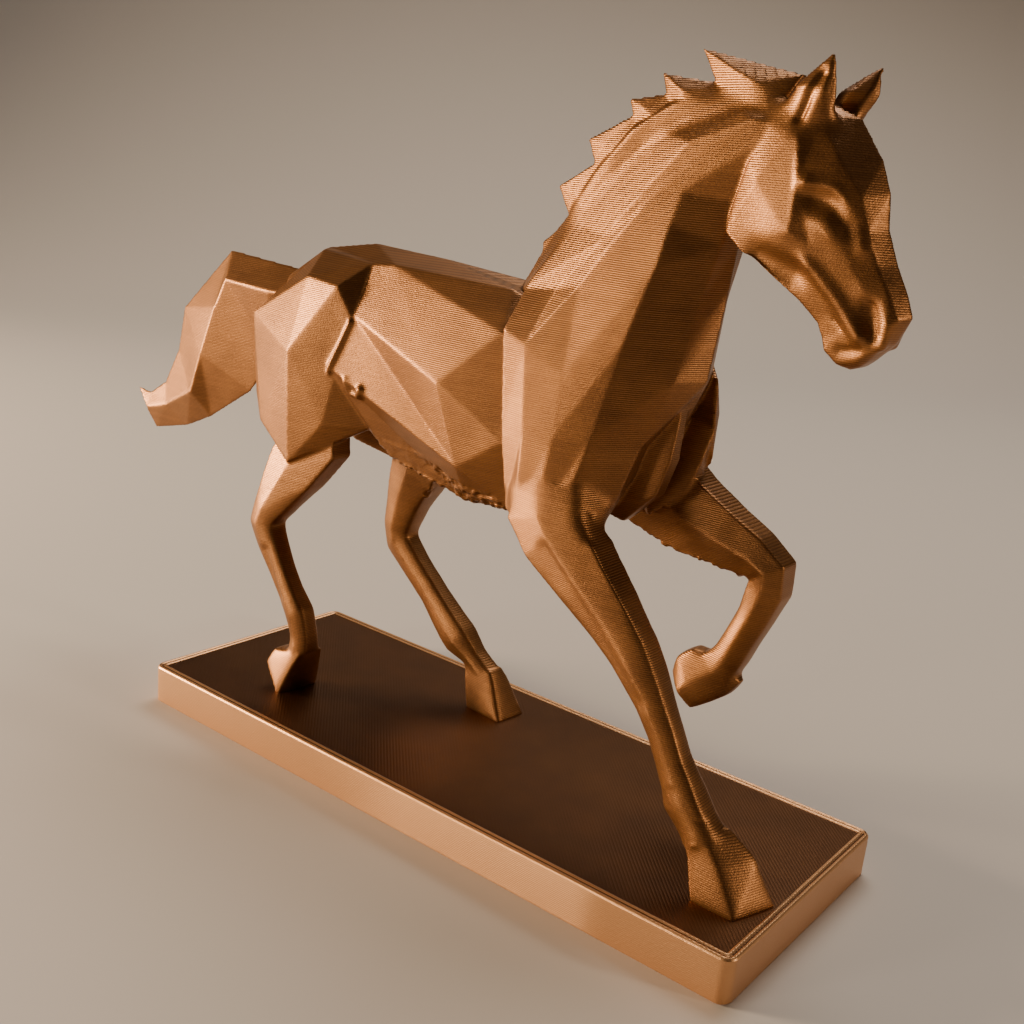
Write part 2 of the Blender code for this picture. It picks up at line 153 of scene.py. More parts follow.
def distance_to_path(points: Points, path: Points) -> np.ndarray:
    """Distance from each point to a path of straight runs.

    For every run the point is dropped onto the line, held between the run's ends, and the least
    distance over the runs is kept.

    Args:
        points: n by 3 array.
        path: corners of the path, m by 3.

    Returns:
        n distances in metres.
    """
    best = np.full(len(points), np.inf)
    for start, end in zip(path[:-1], path[1:]):
        run = end - start
        share = np.clip((points - start) @ run / max(run @ run, 1e-18), 0, 1)
        gap = points - (start + share[:, None] * run)
        best = np.minimum(best, np.sqrt((gap * gap).sum(1)))
    return best


def speckle(points: Points, size: float, seed: int) -> np.ndarray:
    """Smooth random field between -1 and 1.

    Random values stand on a cubic lattice of the given size, and each point takes the blend of the
    eight round it, eased by 3t squared minus 2t cubed.

    Args:
        points: n by 3 array.
        size: lattice spacing in metres.
        seed: picks another field.

    Returns:
        n values.
    """
    scaled = points / size
    cell = np.floor(scaled).astype(np.int64)
    part = scaled - cell
    part = part * part * (3 - 2 * part)
    total = np.zeros(len(points))
    for corner in range(8):
        step = np.array([corner & 1, corner >> 1 & 1, corner >> 2 & 1])
        at = cell + step
        mixed = at[:, 0] * 73856093 ^ at[:, 1] * 19349663 ^ at[:, 2] * 83492791 ^ seed * 2654435761
        value = (np.sin((mixed % 1000003) * 12.9898) * 43758.5453) % 1.0
        weight = np.prod(np.where(step == 1, part, 1 - part), axis=1)
        total += weight * value
    return total * 2 - 1


def between(values: np.ndarray, low: float, high: float, edge: float) -> np.ndarray:
    """A mask of the values from low to high: both of its edges rise by 3t squared minus 2t cubed.

    Args:
        values: n values.
        low: middle of the rising edge.
        high: middle of the falling edge.
        edge: width of each edge.

    Returns:
        n shares, 1 inside and 0 outside.
    """
    rise = np.clip((values - low) / edge + 0.5, 0, 1)
    fall = np.clip((high - values) / edge + 0.5, 0, 1)
    return rise * rise * (3 - 2 * rise) * fall * fall * (3 - 2 * fall)


def mesh_from(name: str, points: Points, faces: list[tuple[int, ...]] | np.ndarray) -> bpy.types.Mesh:
    """Make a smooth-shaded mesh.

    Args:
        name: the mesh's name.
        points: n by 3 array in metres.
        faces: point numbers of each face, counter-clockwise from outside.

    Returns:
        The mesh.
    """
    mesh = bpy.data.meshes.new(name)
    mesh.from_pydata(points.tolist(), [], faces if isinstance(faces, list) else faces.tolist())
    mesh.polygons.foreach_set("use_smooth", np.ones(len(mesh.polygons), dtype=bool))
    mesh.update()
    return mesh


def show(name: str, mesh: bpy.types.Mesh) -> bpy.types.Object:
    """Put a mesh in the scene.

    Args:
        name: the object's name.
        mesh: what it holds.

    Returns:
        The object, at the origin.
    """
    item = bpy.data.objects.new(name, mesh)
    bpy.context.scene.collection.objects.link(item)
    return item


def evaluated(item: bpy.types.Object) -> bpy.types.Mesh:
    """Take the mesh that a helper's modifiers make, and remove the helper.

    Args:
        item: the helper.

    Returns:
        The mesh with the modifiers applied.
    """
    view = bpy.context.evaluated_depsgraph_get()
    mesh = bpy.data.meshes.new_from_object(item.evaluated_get(view))
    bpy.data.objects.remove(item)
    return mesh


class Side(Enum):
    """Sides of the horse that a form is made on."""

    NEAR = (-1,)
    FAR = (1,)
    BOTH = (-1, 1)


@dataclass(frozen=True)
class Stroke:
    """A ridge or a groove along a path, its section a bell curve. Sizes are in shares."""

    name: str
    path: Path
    width: float
    height: float
    side: Side = Side.BOTH

    def lift(self, points: Points) -> np.ndarray:
        """How far each point moves out along its normal.

        The lift is the height times e to the minus square of distance over width.

        Args:
            points: n by 3 array in metres.

        Returns:
            n lifts in metres.
        """
        lift = np.zeros(len(points))
        for side in self.side.value:
            corners = [spot(*place, side) for place in self.path]
            corners = corners * 2 if len(corners) == 1 else corners
            gap = distance_to_path(points, np.array(corners)) / (self.width * SHARE)
            lift += self.height * SHARE * np.exp(-gap * gap)
        return lift


@dataclass(frozen=True)
class Core:
    """A round bar along a path that fills the cleft behind thin forms. Sizes are in shares."""

    name: str
    path: Path
    radius: float
    side: Side = Side.BOTH
    step: float = 0.6

    def places(self) -> Points:
        """Spread places evenly along the path: lengths add up, and places fall between corners.

        Returns:
            n by 3 array in shares.
        """
        path = np.array(self.path)
        along = np.concatenate([[0.0], np.cumsum(np.linalg.norm(np.diff(path, axis=0), axis=1))])
        stops = np.arange(0, along[-1], self.step)
        return np.stack([np.interp(stops, along, path[:, axis]) for axis in range(3)], 1)

    def add(self, shape: bmesh.types.BMesh) -> None:
        """Add the bar to a closed form as overlapping balls.

        Args:
            shape: the form, which is joined to the balls later.
        """
        for x, out, z in self.places():
            for side in self.side.value:
                middle = Matrix.Translation(Vector(spot(x, out, z, side)))
                bmesh.ops.create_icosphere(shape, subdivisions=2, radius=self.radius * SHARE, matrix=middle)


@dataclass(frozen=True)
class Region:
    """A box with eased faces. Each axis has its low end, its high end and its edge, in shares."""

    name: str
    x: tuple[float, float, float]
    y: tuple[float, float, float]
    z: tuple[float, float, float]
    mirrored: bool = False

    def share(self, points: Points) -> np.ndarray:
        """How far each point is in the box: the product of one mask for each axis.

        Args:
            points: n by 3 array in metres.

        Returns:
            n shares, 1 inside and 0 outside.
        """
        across = points[:, 1] / SHARE
        across = np.abs(across) if self.mirrored else across
        rise = (points[:, 2] - PLATE_TOP) / SHARE
        return between(points[:, 0] / SHARE, *self.x) * between(across, *self.y) * between(rise, *self.z)


class Part(Enum):
    """What a printed surface belongs to."""

    FIGURE = "figure"
    PLATE = "plate"


@dataclass(frozen=True)
class SilkPlastic:
    """Silk polylactide filament, extruded in layers: a pearly metallic sheen over fine lines.

    Sizes are in metres. A share says how far a pattern carries the colour from deep to light.
    """

    name: str
    part: Part
    deep: str = "#492B18"
    light: str = "#A46F3F"
    # Painted light: the pale copper painted on the plate's walls and rim crests, where the low lamps fall
    wall: str = "#EDB480"
    painted_wall_light_share: float = 0.7
    metallic: float = 0.80
    least_roughness: float = 0.34
    grain_roughness: float = 0.10
    cloud_size: float = 0.005
    grain_size: float = 0.0002
    layer_share: float = 0.10
    # Painted shade: how much darker the colour is painted in the groove between two layers
    painted_groove_shade_share: float = 0.45
    cloud_share: float = 0.50
    grain_share: float = 0.40
    start: float = -0.15
    bead_height: float = 0.00003
    grain_height: float = 0.8
    line_height: float = 0.00002
    upward_from: float = 0.9

    def build(self) -> bpy.types.Material:
        """Make the material.

        Returns:
            The material, reading Object coordinates in metres.
        """
        material = bpy.data.materials.new(self.name)
        material.use_nodes = True
        tree = material.node_tree
        shader = tree.nodes["Principled BSDF"]
        shader.inputs["Metallic"].default_value = self.metallic
        spots = add_node(tree, "ShaderNodeTexCoord", {}, {}).outputs["Object"]
        apart = add_node(tree, "ShaderNodeSeparateXYZ", {}, {"Vector": spots})
        place = {axis: apart.outputs[axis] for axis in "XYZ"}
        bead = self.bead(tree, place["Z"], LAYER)
        # Pearl pigment flows in soft clouds
        cloud = self.noise(tree, spots, self.cloud_size, 2.0, 0.5)
        # The pigment's flakes make a sandy grain
        grain = self.noise(tree, spots, self.grain_size, 1.0, 0.6)
        colour = self.colour(tree, place, bead, cloud, grain)
        rough = reckon(tree, "MULTIPLY_ADD", grain, self.grain_roughness, self.least_roughness)
        normal = self.layers(tree, place, bead, grain)
        if self.part is Part.PLATE:
            # Painted light: the plate's walls and the crests of its rim lines are lightened in the colour
            colour = self.walls(tree, place, colour)
            normal = self.flat_lines(tree, spots, normal)
        tree.links.new(colour, shader.inputs["Base Color"])
        tree.links.new(rough, shader.inputs["Roughness"])
        tree.links.new(normal, shader.inputs["Normal"])
        return material

    @staticmethod
    def noise(tree: Tree, spots: Socket, size: float, detail: float, roughness: float) -> Socket:
        """Noise of a stated size.

        Args:
            tree: the material's node tree.
            spots: Object coordinates.
            size: width of the noise's spots in metres.
            detail: number of finer rounds.
            roughness: strength of the finer rounds.

        Returns:
            Values between 0 and 1.
        """
        inputs = {"Vector": spots, "Scale": 1 / size, "Detail": detail, "Roughness": roughness}
        return add_node(tree, "ShaderNodeTexNoise", {}, inputs).outputs["Fac"]

    @staticmethod
    def bead(tree: Tree, along: Socket, pitch: float) -> Socket:
        """Rounded section of printed lines side by side: the sine's size over one line's width.

        Args:
            tree: the material's node tree.
            along: coordinate across the lines, in metres.
            pitch: width of a line in metres.

        Returns:
            0 in the groove between two lines and 1 on the middle of a line.
        """
        turn = reckon(tree, "MULTIPLY", along, math.pi / pitch)
        return reckon(tree, "ABSOLUTE", reckon(tree, "SINE", turn))

    @staticmethod
    def fade(tree: Tree, along: Socket, ends: tuple[float, float], values: tuple[float, float]) -> Socket:
        """Eased change from one value to another.

        Args:
            tree: the material's node tree.
            along: coordinate in metres.
            ends: where the change starts and stops.
            values: value before the start, and value after the stop.

        Returns:
            The value at the coordinate.
        """
        inputs = {
            "Value": along,
            "From Min": ends[0],
            "From Max": ends[1],
            "To Min": values[0],
            "To Max": values[1],
        }
        return add_node(tree, "ShaderNodeMapRange", {"interpolation_type": "SMOOTHSTEP"}, inputs).outputs[0]

    def colour(
        self, tree: Tree, place: dict[str, Socket], bead: Socket, cloud: Socket, grain: Socket
    ) -> Socket:
        """Blend the deep and the light copper by layer, painted groove shade, cloud and grain.

        Args:
            tree: the material's node tree.
            place: Object coordinates by axis.
            bead: section of the layers.
            cloud: broad noise.
            grain: fine noise.

        Returns:
            The colour.
        """
        # Each layer comes out a little lighter or darker, all the way round
        whole = reckon(tree, "FLOOR", reckon(tree, "DIVIDE", place["Z"], LAYER))
        shade = add_node(tree, "ShaderNodeTexWhiteNoise", {"noise_dimensions": "1D"}, {"W": whole})
        factor = reckon(tree, "MULTIPLY_ADD", shade.outputs["Value"], self.layer_share, self.start)
        # Painted shade: the groove between two layers is darkened in the colour, since little light reaches
        # it
        patterns = ((bead, self.painted_groove_shade_share), (cloud, self.cloud_share), (grain, self.grain_share))
        for pattern, share in patterns:
            factor = reckon(tree, "MULTIPLY_ADD", pattern, share, factor)
        held = add_node(tree, "ShaderNodeClamp", {}, {"Value": factor}).outputs[0]
        return blend(tree, held, linear(self.deep), linear(self.light))

    def walls(self, tree: Tree, place: dict[str, Socket], colour: Socket) -> Socket:
        """Painted light: lighten the plate's walls and the crests of its rim lines, which the low lamps
        light more than its ironed top.

        Args:
            tree: the material's node tree.
            place: Object coordinates by axis.
            colour: colour of the top.

        Returns:
            The colour all over the plate.
        """
        # Painted light off the upward faces, and a painted highlight on the rim crests
        inner = reckon(tree, "SUBTRACT", self.upward(tree), self.rim(tree, place))
        pale = blend(tree, inner, linear(self.wall), colour)
        return blend(tree, 1 - self.painted_wall_light_share, pale, colour)

    def rim(self, tree: Tree, place: dict[str, Socket]) -> Socket:
        """Lines laid round the plate's edge; their crests get a painted highlight in the colour.

        The inset is half a side less the coordinate's size, the lesser over the two sides.

        Args:
            tree: the material's node tree.
            place: Object coordinates by axis.

        Returns:
            1 on the middle of such a line, and 0 in the grooves and on the field inside them.
        """
        along, across = PLATE_HALF
        ends = reckon(tree, "SUBTRACT", along, reckon(tree, "ABSOLUTE", place["X"]))
        sides = reckon(tree, "SUBTRACT", across, reckon(tree, "ABSOLUTE", place["Y"]))
        inset = reckon(tree, "MINIMUM", ends, sides)
        outer = reckon(tree, "LESS_THAN", inset, RIM_LINES * RIM_LINE)
        crest = reckon(tree, "POWER", self.bead(tree, inset, RIM_LINE), 2.0)
        return reckon(tree, "MULTIPLY", outer, crest)

    def upward(self, tree: Tree) -> Socket:
        """Find where the surface faces up.

        Args:
            tree: the material's node tree.

        Returns:
            1 where it does, and 0 elsewhere.
        """
        facing = add_node(tree, "ShaderNodeNewGeometry", {}, {}).outputs["Normal"]
        height = add_node(tree, "ShaderNodeSeparateXYZ", {}, {"Vector": facing}).outputs["Z"]
        return reckon(tree, "GREATER_THAN", height, self.upward_from)

    def layers(self, tree: Tree, place: dict[str, Socket], bead: Socket, grain: Socket) -> Socket:
        """Round each layer's edge and roughen it with the grain.

        Args:
            tree: the material's node tree.
            place: Object coordinates by axis.
            bead: section of the layers.
            grain: fine noise.

        Returns:
            The bumped normal.
        """
        # Layers stand out on the forehand, less behind it and least on the slowly printed head
        head = self.fade(tree, place["X"], (0.029, 0.035), (1.0, 0.3))
        rear = self.fade(tree, place["X"], (-0.016, 0.004), (0.4, 1.0))
        lined = reckon(tree, "MULTIPLY", bead, reckon(tree, "MULTIPLY", head, rear))
        bulge = reckon(tree, "MULTIPLY_ADD", grain, self.grain_height, lined)
        inputs = {"Strength": 1.0, "Distance": self.bead_height, "Height": bulge}
        return add_node(tree, "ShaderNodeBump", {}, inputs).outputs["Normal"]

    def flat_lines(self, tree: Tree, spots: Socket, normal: Socket) -> Socket:
        """Lay the last layer's lines on the plate's top, at 45 degrees to its sides.

        Args:
            tree: the material's node tree.
            spots: Object coordinates.
            normal: normal of the walls.

        Returns:
            The normal all over the plate.
        """
        inputs = {"Vector": spots, "Angle": -math.pi / 4}
        turned = add_node(tree, "ShaderNodeVectorRotate", {"rotation_type": "Z_AXIS"}, inputs).outputs[0]
        across = add_node(tree, "ShaderNodeSeparateXYZ", {}, {"Vector": turned}).outputs["X"]
        inputs = {"Strength": 1.0, "Distance": self.line_height, "Height": self.bead(tree, across, LINE)}
        flat = add_node(tree, "ShaderNodeBump", {}, inputs).outputs["Normal"]
        inputs = {0: self.upward(tree), 4: normal, 5: flat}
        return add_node(tree, "ShaderNodeMix", {"data_type": "VECTOR"}, inputs).outputs[1]


@dataclass
class Plate:
    """The rectangular plate: a profile carried round a rectangle with rounded upright corners.

    Sizes are in metres. The crisp inset keeps the light's turn over an edge within that edge.
    """

    half: tuple[float, float] = PLATE_HALF
    thickness: float = PLATE_TOP
    corner: float = 0.0015
    least_corner: float = 0.0003
    corner_steps: int = 10
    side_steps: int = 60
    edge: float = 0.00018
    crisp: float = 0.00005
    bead: float = 0.00014
    bead_steps: int = 40
    inner_top: tuple[float, ...] = (0.0020, 0.004, 0.009, 0.014, 0.018)
    inner_foot: tuple[float, ...] = (0.018, 0.009)
    # Painted shade: darker copper for the plate's top, which gets little light from above
    deep: str = "#2E1A0D"
    light: str = "#643F20"

    def outline(self) -> tuple[Points, Points]:
        """Outline of the plate and the outward direction at each of its points.

        Returns:
            n by 2 points with the corners cut back to their centres, and n by 2 directions, so
            that centre plus radius times direction follows the rounded rectangle.
        """
        reach = np.array(self.half) - self.corner
        ways = ((1, 1), (-1, 1), (-1, -1), (1, -1))
        centres: list[np.ndarray] = []
        turns: list[np.ndarray] = []
        for quarter, way in enumerate(ways):
            angle = np.radians(90 * (quarter + np.linspace(0, 1, self.corner_steps + 1)))
            centres.append(np.tile(np.array(way) * reach, (len(angle), 1)))
            turns.append(np.stack([np.cos(angle), np.sin(angle)], 1))
            following = np.array(ways[(quarter + 1) % 4]) * reach
            run = np.linspace(0, 1, self.side_steps + 2)[1:-1, None]
            centres.append(np.array(way) * reach * (1 - run) + following * run)
            turns.append(np.tile(turns[-1][-1], (self.side_steps, 1)))
        return np.concatenate(centres), np.concatenate(turns)

    def profile(self) -> Points:
        """Profile from the middle of the foot, up the wall and over the edge to the middle of the top.

        The printed lines along the top's edge are raised cosines, and the edge is a parabola.

        Returns:
            n by 2 array of inset from the outline and height.
        """
        foot = [(inset, 0.0) for inset in self.inner_foot]
        foot += [(self.edge + self.crisp, 0.0), (self.edge, 0.0), (0.0, self.edge)]
        low, high = self.edge + self.crisp, self.thickness - self.edge - self.crisp
        wall = [(0.0, low + (high - low) * share) for share in (0.0, 0.25, 0.5, 0.75, 1.0)]
        reach = RIM_LINES * RIM_LINE
        inset = np.linspace(0.0, 1.1 * reach, self.bead_steps)
        waves = self.bead * (1 - np.cos(2 * np.pi * inset / RIM_LINE)) / 2
        rounding = self.edge * np.clip(1 - inset / self.edge, 0, 1) ** 2
        top = np.stack([inset, self.thickness + waves * (inset < reach) - rounding], 1)
        inner = [(inset, self.thickness) for inset in self.inner_top]
        return np.array(foot + wall + top.tolist() + inner)

    def build(self) -> bpy.types.Object:
        """Make the plate: each ring is the outline moved in by its inset, and the last ones meet.

        Returns:
            The plate's object.
        """
        centres, turns = self.outline()
        rings: list[np.ndarray] = []
        half = np.array(self.half)
        for inset, level in self.profile():
            radius = max(self.corner - inset, self.least_corner)
            shift = (half - inset - radius) / (half - self.corner)
            flat = centres * shift + turns * radius
            rings.append(np.column_stack([flat, np.full(len(flat), level)]))
        count, levels = len(centres), len(rings)
        index = np.arange(levels * count).reshape(levels, count)
        after = np.roll(index, -1, axis=1)
        quads = np.stack([index[:-1], after[:-1], after[1:], index[1:]], -1).reshape(-1, 4)
        points = np.concatenate(rings + [np.array([[0, 0, 0.0], [0, 0, self.thickness]])])
        low, high = len(points) - 2, len(points) - 1
        faces = [tuple(face) for face in quads.tolist()]
        faces += [(low, int(after[0, step]), int(index[0, step])) for step in range(count)]
        faces += [(high, int(index[-1, step]), int(after[-1, step])) for step in range(count)]
        item = show("plate", mesh_from("plate", points, faces))
        # Painted light and shade: the plate's copper is darker on its top and paler on its walls
        plastic = SilkPlastic("silk_pla_copper_plate", Part.PLATE, deep=self.deep, light=self.light)
        item.data.materials.append(plastic.build())
        return item


CORES: tuple[Core, ...] = (
    Core(
        "mane_root",
        (
            (3.8, 0.5, 71.6), (8.0, 0.6, 77.8), (11.8, 0.6, 84.2), (16.6, 0.6, 89.6), (21.6, 0.6, 92.6),
            (30, 0.6, 94),
        ),
        1.7,
    ),
    Core("ear_root", ((34.6, 1.4, 92.6), (36.6, 2.4, 93.6), (38.2, 2.9, 94.8)), 1.1, Side.NEAR),
    Core("breast_fold", ((19.6, 9.4, 44.4), (20.4, 7.4, 43.6), (20.6, 5.8, 42.0)), 1.3, Side.NEAR),
)

# Lines along which forms run into each other: roots of mane and ears, shoulder on leg, eye, jaw
JOINS: tuple[Path, ...] = (
    (
        (5.0, 3.0, 73.6), (9.2, 2.6, 79.6), (13.4, 2.4, 84.6), (20.6, 2.2, 91.2), (27.6, 2.0, 94.2),
        (33.0, 1.8, 95.0),
    ),
    ((36.0, 3.2, 93.4), (40.0, 4.6, 92.8), (43.6, 3.2, 92.8)),
    ((8.0, 12.0, 42.6), (15.0, 12.4, 44.6), (19.6, 11.6, 44.4), (21.6, 10.4, 41.6)),
    ((19.8, 9.6, 45.6), (20.8, 7.4, 44.6), (21.3, 5.8, 42.8), (21.6, 7.6, 41.8)),
    ((39.4, 12.0, 11.4), (42.6, 12.4, 8.4), (46.6, 10.0, 9.2)),
    ((42.6, 5.1, 84.2), (46.8, 4.5, 80.8)),
    ((39.0, 4.8, 78.4), (44.4, 3.9, 75.8), (51.0, 2.4, 71.0)),
)

STROKES: tuple[Stroke, ...] = (
    Stroke(
        "cheek_crest",
        ((40.8, 3.4, 79.0), (43.4, 4.2, 76.6), (46.0, 3.6, 74.0), (49.4, 2.8, 70.0)),
        0.9,
        0.7,
    ),
    Stroke("jaw_hollow", ((36.4, 4.5, 77.4), (40.6, 4.2, 75.6)), 1.7, -0.9),
    Stroke("nostril", ((50.1, 2.5, 73.4), (50.9, 2.2, 70.6)), 0.9, -0.5),
    Stroke("nostril_rim", ((51.0, 1.4, 75.4), (52.2, 2.0, 71.8), (51.9, 1.9, 69.2)), 0.6, 0.5),
    Stroke("brow", ((41.6, 5.2, 85.8), (44.8, 4.9, 85.4), (47.8, 4.2, 82.4), (48.7, 3.6, 79.4)), 0.8, 0.5),
    Stroke("eye_socket", ((42.6, 5.0, 84.6), (45.0, 4.8, 83.6), (46.8, 4.5, 81.6)), 1.5, -0.6),
    Stroke("eye_ball", ((43.8, 5.0, 81.6), (45.0, 4.9, 80.6)), 1.4, 0.2),
    Stroke("chin_dimple", ((47.2, 2.2, 67.9), (49.4, 2.2, 68.4)), 0.6, -0.3),
    Stroke("near_ear_scoop", ((39, 4.2, 92.6), (39.9, 4.2, 95), (40.9, 3.9, 97.3)), 0.6, -0.6, Side.NEAR),
    Stroke("far_ear_scoop", ((44.0, 4.2, 94.0), (44.6, 4.2, 96.2), (44.9, 3.9, 98.0)), 0.8, -0.6, Side.FAR),
    Stroke("flank_lip", ((-23.9, 9.2, 61.0), (-25.4, 9.8, 57.0), (-27.0, 10.2, 53.2)), 0.45, 0.6),
    Stroke(
        "flank_knot",
        ((-23.5, 9.6, 52.5), (-23.2, 9.2, 50.9), (-21.4, 9.3, 50.5), (-20.4, 9.8, 51.7)),
        0.6,
        0.7,
    ),
    Stroke("forearm_groove", ((16.5, 12.7, 38.0), (24.5, 12.6, 30.5), (32.6, 12.4, 22.0)), 1.2, -0.25),
    Stroke("near_ergot", ((37.0, 9.5, 9.2),), 1.3, 0.9, Side.NEAR),
    Stroke("near_hind_tendon", ((-38.6, 11.2, 22.5), (-35.2, 11.1, 15.5)), 0.8, -0.35, Side.NEAR),
    Stroke("far_hind_ergot", ((-15.4, 9.0, 10.6),), 1.2, 0.8, Side.FAR),
)

# Where supports stood under the horse while it was printed
SCARRED: tuple[Region, ...] = (
    Region("belly", (-21, 14, 2), (-1, 6.5, 1.5), (33, 47, 1), mirrored=True),
    Region("raised_forearm", (19, 36, 1.5), (2, 13, 1), (33, 45, 1)),
)


@dataclass
class Horse:
    """The horse's own skin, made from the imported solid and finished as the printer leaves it.

    Lengths are in metres, but the joins, the legs and the mane are given in shares.
    """

    cell: float = 0.00022
    above_plate: float = 0.00005
    embed: float = 0.0004
    most_triangles: int = 190_000
    ease_rounds: int = 12
    ease_in: float = 0.50
    ease_out: float = -0.46
    root_rounds: int = 90
    join_reach: float = 1.3
    join_fade: float = 1.4
    leg_ease: float = 0.6
    leg_range: tuple[float, float, float] = (-5, 33, 6)
    scar_height: float = 0.00045
    step_share: float = 0.8
    mane_range: tuple[float, float, float] = (88, 102, 2)

    def solid(self, node: bpy.types.Object) -> bpy.types.Mesh:
        """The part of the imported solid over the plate, closed and let into the plate a little.

        Args:
            node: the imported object, which is left as it is.

        Returns:
            A closed mesh.
        """
        shape = bmesh.new()
        shape.from_mesh(node.data)
        bmesh.ops.remove_doubles(shape, verts=shape.verts, dist=0.000001)
        level = Vector((0, 0, PLATE_TOP + self.above_plate))
        bmesh.ops.bisect_plane(
            shape, geom=shape.verts[:] + shape.edges[:] + shape.faces[:], plane_co=level,
            plane_no=Vector((0, 0, 1)), clear_inner=True,
        )
        rim = [edge for edge in shape.edges if edge.is_boundary]
        feet = bmesh.ops.extrude_edge_only(shape, edges=rim)
        moved = [part for part in feet["geom"] if isinstance(part, bmesh.types.BMVert)]
        bmesh.ops.translate(shape, verts=moved, vec=Vector((0, 0, -self.embed)))
        bmesh.ops.holes_fill(shape, edges=[edge for edge in shape.edges if edge.is_boundary], sides=0)
        bmesh.ops.triangulate(shape, faces=shape.faces)
        bmesh.ops.recalc_face_normals(shape, faces=shape.faces)
        for core in CORES:
            core.add(shape)
        mesh = bpy.data.meshes.new("horse_solid")
        shape.to_mesh(mesh)
        shape.free()
        return mesh

    def fine(self, mesh: bpy.types.Mesh) -> bpy.types.Mesh:
        """Make the same closed form in even small faces.

        Args:
            mesh: the closed form.

        Returns:
            A mesh of small squares, in one skin.
        """
        helper = show("horse_helper", mesh)
        grid = helper.modifiers.new("even", "REMESH")
        grid.mode = "VOXEL"
        grid.voxel_size = self.cell
        grid.adaptivity = 0.0
        return evaluated(helper)

    def thin(self, mesh: bpy.types.Mesh) -> bpy.types.Mesh:
        """Take faces away where the form is flat, so that it stays within its limit.

        Args:
            mesh: the finished form.

        Returns:
            The same form in fewer faces.
        """
        mesh.calc_loop_triangles()
        helper = show("horse_helper", mesh)
        fewer = helper.modifiers.new("fewer", "DECIMATE")
        fewer.ratio = min(1.0, self.most_triangles / len(mesh.loop_triangles))
        return evaluated(helper)

    @staticmethod
    def ease(points: Points, edges: np.ndarray, amounts: list[float]) -> Points:
        """Draw each point towards the mean of its neighbours, or away from it.

        Args:
            points: n by 3 array.
            edges: pairs of neighbours.
            amounts: share of the way for each round, less than nothing for a step away.

        Returns:
            The eased points.
        """
        one, two = edges[:, 0], edges[:, 1]
        number = np.bincount(one, minlength=len(points)) + np.bincount(two, minlength=len(points))
        for amount in amounts:
            mean = np.stack(
                [
                    np.bincount(one, points[two, axis], len(points))
                    + np.bincount(two, points[one, axis], len(points))
                    for axis in range(3)
                ],
                1,
            ) / number[:, None]
            points = points + amount * (mean - points)
        return points

    def joined(self, points: Points) -> np.ndarray:
        """Share of the strong easing: full near a join, falling with distance, and less on the legs.

        Args:
            points: n by 3 array in metres.

        Returns:
            n shares.
        """
        near = np.zeros(len(points))
        for path in JOINS:
            for side in Side.BOTH.value:
                gap = distance_to_path(points, np.array([spot(*place, side) for place in path])) / SHARE
                near = np.maximum(near, 1 - np.clip((gap - self.join_reach) / self.join_fade, 0, 1))
        legs = self.leg_ease * between((points[:, 2] - PLATE_TOP) / SHARE, *self.leg_range)
        return np.maximum(near, legs)

    def scars(self, points: Points, normals: Points) -> np.ndarray:
        """Roughness left by removed supports: a speckle, times a mask of faces that look down.

        Args:
            points: n by 3 array in metres.
            normals: n by 3 array.

        Returns:
            n lifts in metres.
        """
        down = np.clip((-normals[:, 2] - 0.35) / 0.3, 0, 1)
        place = np.maximum.reduce([region.share(points) for region in SCARRED])
        rough = 0.6 * speckle(points, 0.0008, 3) + 0.4 * speckle(points, 0.0004, 5)
        return self.scar_height * rough * down * place

    def stepped(self, points: Points, normals: Points) -> np.ndarray:
        """Height after the printer's steps: the mane's shallow tops move to the middle of their layer.

        Args:
            points: n by 3 array in metres.
            normals: n by 3 array.

        Returns:
            n heights in metres.
        """
        whole = (np.floor(points[:, 2] / LAYER) + 0.5) * LAYER
        shallow = np.clip((normals[:, 2] - 0.45) / 0.2, 0, 1)
        mane = between((points[:, 2] - PLATE_TOP) / SHARE, *self.mane_range)
        return points[:, 2] + self.step_share * shallow * mane * (whole - points[:, 2])

    def finish(self, mesh: bpy.types.Mesh) -> None:
        """Ease the ridges, add the strokes, the scars and the steps, as whole arrays.

        Args:
            mesh: the fine mesh, which is changed and kept within its own box.
        """
        count = len(mesh.vertices)
        points = np.empty(count * 3)
        mesh.vertices.foreach_get("co", points)
        points = points.reshape(-1, 3)
        low, high = points.min(0), points.max(0)
        edges = np.empty(len(mesh.edges) * 2, dtype=np.int32)
        mesh.edges.foreach_get("vertices", edges)
        edges = edges.reshape(-1, 2)
        points = self.ease(points, edges, [self.ease_in, self.ease_out] * self.ease_rounds)
        share = self.joined(points)[:, None]
        points = points * (1 - share) + self.ease(points, edges, [self.ease_in] * self.root_rounds) * share
        mesh.vertices.foreach_set("co", points.ravel())
        mesh.update()
        normals = np.empty(count * 3)
        mesh.vertices.foreach_get("normal", normals)
        normals = normals.reshape(-1, 3)
        lift = self.scars(points, normals)
        for stroke in STROKES:
            lift += stroke.lift(points)
        points = points + normals * lift[:, None]
        points[:, 2] = self.stepped(points, normals)
        points = np.clip(points, low, high)
        mesh.vertices.foreach_set("co", points.ravel())
        mesh.polygons.foreach_set("use_smooth", np.ones(len(mesh.polygons), dtype=bool))
        mesh.update()

    def build(self, node: bpy.types.Object) -> bpy.types.Object:
        """Make the horse.

        Args:
            node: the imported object.

        Returns:
            The horse's object.
        """
        mesh = self.fine(self.solid(node))
        self.finish(mesh)
        mesh = self.thin(mesh)
        mesh.name = "horse"
        mesh.materials.clear()
        mesh.materials.append(SilkPlastic("silk_pla_copper_figure", Part.FIGURE).build())
        return show("horse", mesh)


@dataclass(frozen=True)
class Lamp:
    """A soft square light aimed at the horse: degrees, metres, watts and a hex colour.

    It turns from +X towards +Y and rises from the level, both as seen from the horse.
    """

    name: str
    turn: float
    rise: float
    away: float
    size: float
    power: float
    tint: str


